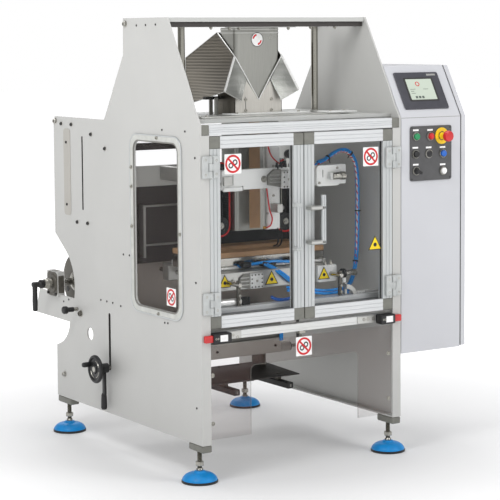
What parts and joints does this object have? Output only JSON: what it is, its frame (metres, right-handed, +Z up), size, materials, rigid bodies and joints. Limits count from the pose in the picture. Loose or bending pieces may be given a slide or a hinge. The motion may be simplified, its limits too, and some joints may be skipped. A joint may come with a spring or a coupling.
{
  "type": "vertical form fill sealer",
  "caption": "Free-standing vertical bagging machine: forming tube and shoulder over pull belts, sealing jaws behind glazed doors, film reel at the rear and a side control cabinet.",
  "frame": {"origin": "centre of the whole machine's base, on the floor", "axes": "+Z up, -Y towards the operator's doors, +X towards the control cabinet"},
  "size_m": [1.179, 1.242, 1.5],
  "materials": {
    "plate_grey": "pale warm grey powder coat",
    "cabinet_grey": "pale cool grey powder coat",
    "profile": "satin anodised extrusion",
    "stainless": "brushed and patterned sheet",
    "polished": "ground and polished bar",
    "white_part": "light anodised and coated plate",
    "dark_steel": "dark coated sheet",
    "housing_grey": "grey coated casting",
    "jaw_alloy": "machined alloy",
    "roller_alloy": "turned alloy tube",
    "black_plastic": "black moulded plastic",
    "button_grey": "mid grey plate",
    "hinge_grey": "grey moulded hinge",
    "handle_white": "light anodised handle",
    "slate": "dark slate plastic",
    "belt_red": "red coated toothed belt on black pulleys",
    "foot_blue": "blue moulded pad on a steel stem",
    "hose_blue": "blue polyurethane air hose",
    "green": "green cap",
    "red": "red cap",
    "blue": "blue cap",
    "white": "white cap",
    "clear": "clear polycarbonate sheet"
  },
  "bodies": {
    "machine": {"left_side_plate": "plate_grey", "right_side_plate": "plate_grey", "window_pane": "clear", "top_cross_beam": "plate_grey", "rear_top_tie_bar": "polished", "lower_rear_tie_bar": "polished", "header_profile": "profile", "lower_cross_beam": "white_part", "deck_plate": "plate_grey", "left_post": "polished", "right_post": "polished", "drive_housing": "housing_grey", "foot_front_left": "foot_blue", "foot_front_right": "foot_blue", "foot_rear_left": "foot_blue", "foot_rear_right": "foot_blue", "left_hinge_upper": "hinge_grey", "left_hinge_lower": "hinge_grey", "right_hinge_upper": "hinge_grey", "right_hinge_lower": "hinge_grey", "left_safety_switch": "black_plastic", "right_safety_switch": "black_plastic", "cabinet_shell": "cabinet_grey", "hmi_panel": "slate", "button_plate": "button_grey", "forming_tube": "stainless", "forming_shoulder": "stainless", "belt_cross_beam": "white_part", "jaw_guide_frame": "polished", "discharge_chute": "dark_steel", "lower_guard": "clear", "hose_bundle": "hose_blue"},
    "left_door": {"left_door_frame": "profile", "left_door_pane": "clear", "left_door_handle": "handle_white"},
    "right_door": {"right_door_frame": "profile", "right_door_pane": "clear", "right_door_handle": "handle_white"},
    "cabinet_door": {"cabinet_side_door": "cabinet_grey"},
    "start_cap": {"start_button": "green"},
    "stop_cap": {"stop_button": "red"},
    "reset_cap": {"reset_button": "black_plastic"},
    "step_cap": {"step_button": "blue"},
    "film_cap": {"film_button": "white"},
    "selector": {"selector_switch": "black_plastic"},
    "stop_head": {"emergency_stop": "red"},
    "left_belt_unit": {"left_pull_belt": "belt_red"},
    "right_belt_unit": {"right_pull_belt": "belt_red"},
    "left_pulley": {"left_belt_pulley": "black_plastic"},
    "right_pulley": {"right_belt_pulley": "black_plastic"},
    "seal_bar": {"vertical_seal_bar": "white_part"},
    "jaw_front": {"front_jaw": "jaw_alloy"},
    "jaw_rear": {"rear_jaw": "jaw_alloy"},
    "reel": {"reel_shaft": "polished"},
    "reel_lever": {"reel_clamp_lever": "black_plastic"},
    "dancer": {"dancer_roller": "roller_alloy"},
    "adjuster": {"adjuster_shaft": "roller_alloy"},
    "handwheel": {"adjuster_handwheel": "black_plastic"},
    "clamp_lever": {"adjuster_clamp_lever": "black_plastic"},
    "plunger": {"index_plunger": "black_plastic"}
  },
  "joints": [
    {"name": "left_door_hinge", "type": "hinge", "parent": "machine", "child": "left_door", "pos_m": [-0.462, -0.576, 0.8], "axis": [0, 0, -1], "range_deg": [0, 110]},
    {"name": "right_door_hinge", "type": "hinge", "parent": "machine", "child": "right_door", "pos_m": [0.269, -0.576, 0.8], "axis": [0, 0, 1], "range_deg": [0, 110]},
    {"name": "cabinet_door_hinge", "type": "hinge", "parent": "machine", "child": "cabinet_door", "pos_m": [0.591, -0.1165, 0.8], "axis": [0, 0, 1], "range_deg": [0, 120]},
    {"name": "start_button_press", "type": "slide", "parent": "machine", "child": "start_cap", "axis": [0, 1, 0], "range_m": [0, 0.004], "stiffness_N_per_m": 500},
    {"name": "stop_button_press", "type": "slide", "parent": "machine", "child": "stop_cap", "axis": [0, 1, 0], "range_m": [0, 0.004], "stiffness_N_per_m": 500},
    {"name": "reset_button_press", "type": "slide", "parent": "machine", "child": "reset_cap", "axis": [0, 1, 0], "range_m": [0, 0.004], "stiffness_N_per_m": 500},
    {"name": "step_button_press", "type": "slide", "parent": "machine", "child": "step_cap", "axis": [0, 1, 0], "range_m": [0, 0.004], "stiffness_N_per_m": 500},
    {"name": "film_button_press", "type": "slide", "parent": "machine", "child": "film_cap", "axis": [0, 1, 0], "range_m": [0, 0.004], "stiffness_N_per_m": 500},
    {"name": "selector_turn", "type": "hinge", "parent": "machine", "child": "selector", "pos_m": [0.3655, -0.582, 0.973], "axis": [0, 1, 0], "range_deg": [-45, 45]},
    {"name": "emergency_stop_press", "type": "slide", "parent": "machine", "child": "stop_head", "axis": [0, 1, 0], "range_m": [0, 0.004]},
    {"name": "left_belt_retract", "type": "slide", "parent": "machine", "child": "left_belt_unit", "axis": [-1, 0, 0], "range_m": [0, 0.015]},
    {"name": "right_belt_retract", "type": "slide", "parent": "machine", "child": "right_belt_unit", "axis": [1, 0, 0], "range_m": [0, 0.015]},
    {"name": "left_pulley_turn", "type": "hinge", "parent": "left_belt_unit", "child": "left_pulley", "pos_m": [-0.229, -0.244, 0.795], "axis": [0, 1, 0], "continuous": true},
    {"name": "right_pulley_turn", "type": "hinge", "parent": "right_belt_unit", "child": "right_pulley", "pos_m": [0.036, -0.244, 0.795], "axis": [0, 1, 0], "continuous": true},
    {"name": "seal_bar_press", "type": "slide", "parent": "machine", "child": "seal_bar", "axis": [0, 1, 0], "range_m": [0, 0.055]},
    {"name": "front_jaw_close", "type": "slide", "parent": "machine", "child": "jaw_front", "axis": [0, 1, 0], "range_m": [0, 0.0395]},
    {"name": "rear_jaw_close", "type": "slide", "parent": "machine", "child": "jaw_rear", "axis": [0, -1, 0], "range_m": [0, 0.0395]},
    {"name": "reel_turn", "type": "hinge", "parent": "machine", "child": "reel", "pos_m": [-0.0965, 0.461, 0.54], "axis": [1, 0, 0], "continuous": true},
    {"name": "reel_lever_turn", "type": "hinge", "parent": "machine", "child": "reel_lever", "pos_m": [-0.5565, 0.461, 0.54], "axis": [1, 0, 0], "range_deg": [-90, 90]},
    {"name": "dancer_lift", "type": "slide", "parent": "machine", "child": "dancer", "axis": [0, 0, 1], "range_m": [0, 0.25]},
    {"name": "adjuster_lift", "type": "slide", "parent": "machine", "child": "adjuster", "axis": [0, 0, 1], "range_m": [0, 0.15]},
    {"name": "handwheel_turn", "type": "hinge", "parent": "adjuster", "child": "handwheel", "pos_m": [-0.5545, 0.045, 0.29], "axis": [1, 0, 0], "continuous": true},
    {"name": "clamp_lever_turn", "type": "hinge", "parent": "adjuster", "child": "clamp_lever", "pos_m": [-0.5185, 0.045, 0.29], "axis": [1, 0, 0], "range_deg": [-45, 45]},
    {"name": "plunger_pull", "type": "slide", "parent": "machine", "child": "plunger", "axis": [-1, 0, 0], "range_m": [0, 0.008], "stiffness_N_per_m": 800}
  ],
  "couplings": [
    {"joint": "rear_jaw_close", "follows": "front_jaw_close", "ratio": 1},
    {"joint": "right_pulley_turn", "follows": "left_pulley_turn", "ratio": -1}
  ]
}
